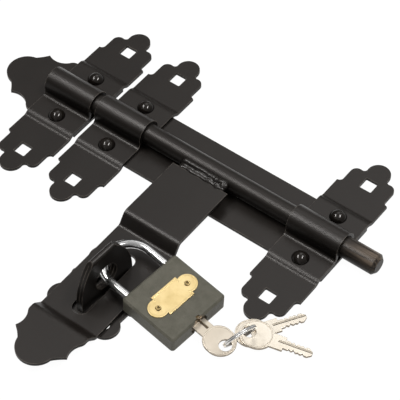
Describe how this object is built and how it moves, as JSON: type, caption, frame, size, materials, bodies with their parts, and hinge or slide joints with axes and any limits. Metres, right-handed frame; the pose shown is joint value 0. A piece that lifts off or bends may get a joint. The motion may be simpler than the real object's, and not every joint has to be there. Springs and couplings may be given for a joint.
{
  "type": "padbolt",
  "caption": "Black padbolt: round rod in formed ornate straps, joggled hasp arm over a loose staple eye, with a small padlock through the eye and keys on a ring.",
  "frame": {"origin": "centre of the main plate's back face", "axes": "+X along the rod towards its free end, -Y towards the tip of the hasp arm, +Z out of the door"},
  "size_m": [0.2788, 0.2364, 0.0353],
  "materials": {
    "black_coat": "satin black powder coat",
    "black_rod": "satin black coat, thin and slightly brown at the free end",
    "weld_metal": "coated weld bead",
    "shackle_chrome": "bright plate",
    "lock_enamel": "satin grey-green enamel",
    "label_brass": "bare polished brass",
    "plug_brass": "machined brass",
    "key_steel": "nickel plated",
    "ring_steel": "bright wire"
  },
  "bodies": {
    "backplate": {"main_plate": "black_coat", "guide_strap_left": "black_coat", "guide_strap_right": "black_coat", "guide_rivets": "black_coat", "keeper_plate": "black_coat", "keeper_strap": "black_coat", "keeper_rivets": "black_coat"},
    "bolt": {"bolt_rod": "black_rod"},
    "hasp": {"hasp_arm": "black_coat", "hasp_weld": "weld_metal", "staple_plate": "black_coat", "staple_eye": "black_coat", "padlock_shackle": "shackle_chrome"},
    "padlock": {"padlock_body": "lock_enamel", "label_plate": "label_brass", "label_pins": "label_brass"},
    "plug": {"lock_plug": "plug_brass", "wafers": "plug_brass", "inserted_key": "key_steel"},
    "latch": {"latch": "key_steel"},
    "ring": {"key_ring": "ring_steel"},
    "spare_lower": {"spare_key_lower": "key_steel"},
    "spare_upper": {"spare_key_upper": "key_steel"}
  },
  "joints": [
    {"name": "bolt_slide", "type": "slide", "parent": "backplate", "child": "bolt", "axis": [1, 0, 0], "range_m": [0, 0.039]},
    {"name": "hasp_lift", "type": "hinge", "parent": "bolt", "child": "hasp", "pos_m": [0, 0, 0.0087], "axis": [-1, 0, 0], "range_deg": [0, 150]},
    {"name": "padlock_pull", "type": "slide", "parent": "hasp", "child": "padlock", "axis": [0.9907, -0.1041, -0.0872], "range_m": [0, 0.013]},
    {"name": "key_turn", "type": "hinge", "parent": "padlock", "child": "plug", "pos_m": [0.0352, -0.0888, 0.0085], "axis": [0.9907, -0.1041, -0.0872], "range_deg": [0, 90]},
    {"name": "latch_throw", "type": "slide", "parent": "padlock", "child": "latch", "axis": [-0.1063, -0.9941, -0.0209], "range_m": [0, 0.00226]},
    {"name": "ring_turn", "type": "hinge", "parent": "plug", "child": "ring", "pos_m": [0.07887, -0.08597, 0.01053], "axis": [0.8738, -0.2917, -0.3891], "continuous": true},
    {"name": "spare_lift", "type": "hinge", "parent": "plug", "child": "spare_lower", "pos_m": [0.07887, -0.08597, 0.01053], "axis": [0.8738, -0.2917, -0.3891], "range_deg": [0, 40]},
    {"name": "spare_fan", "type": "hinge", "parent": "spare_lower", "child": "spare_upper", "pos_m": [0.07916, -0.07768, 0.00495], "axis": [0.0472, 0.0126, 0.9988], "range_deg": [0, 25]}
  ],
  "couplings": [
    {"joint": "latch_throw", "follows": "key_turn", "m_per_rad": 0.001438}
  ]
}
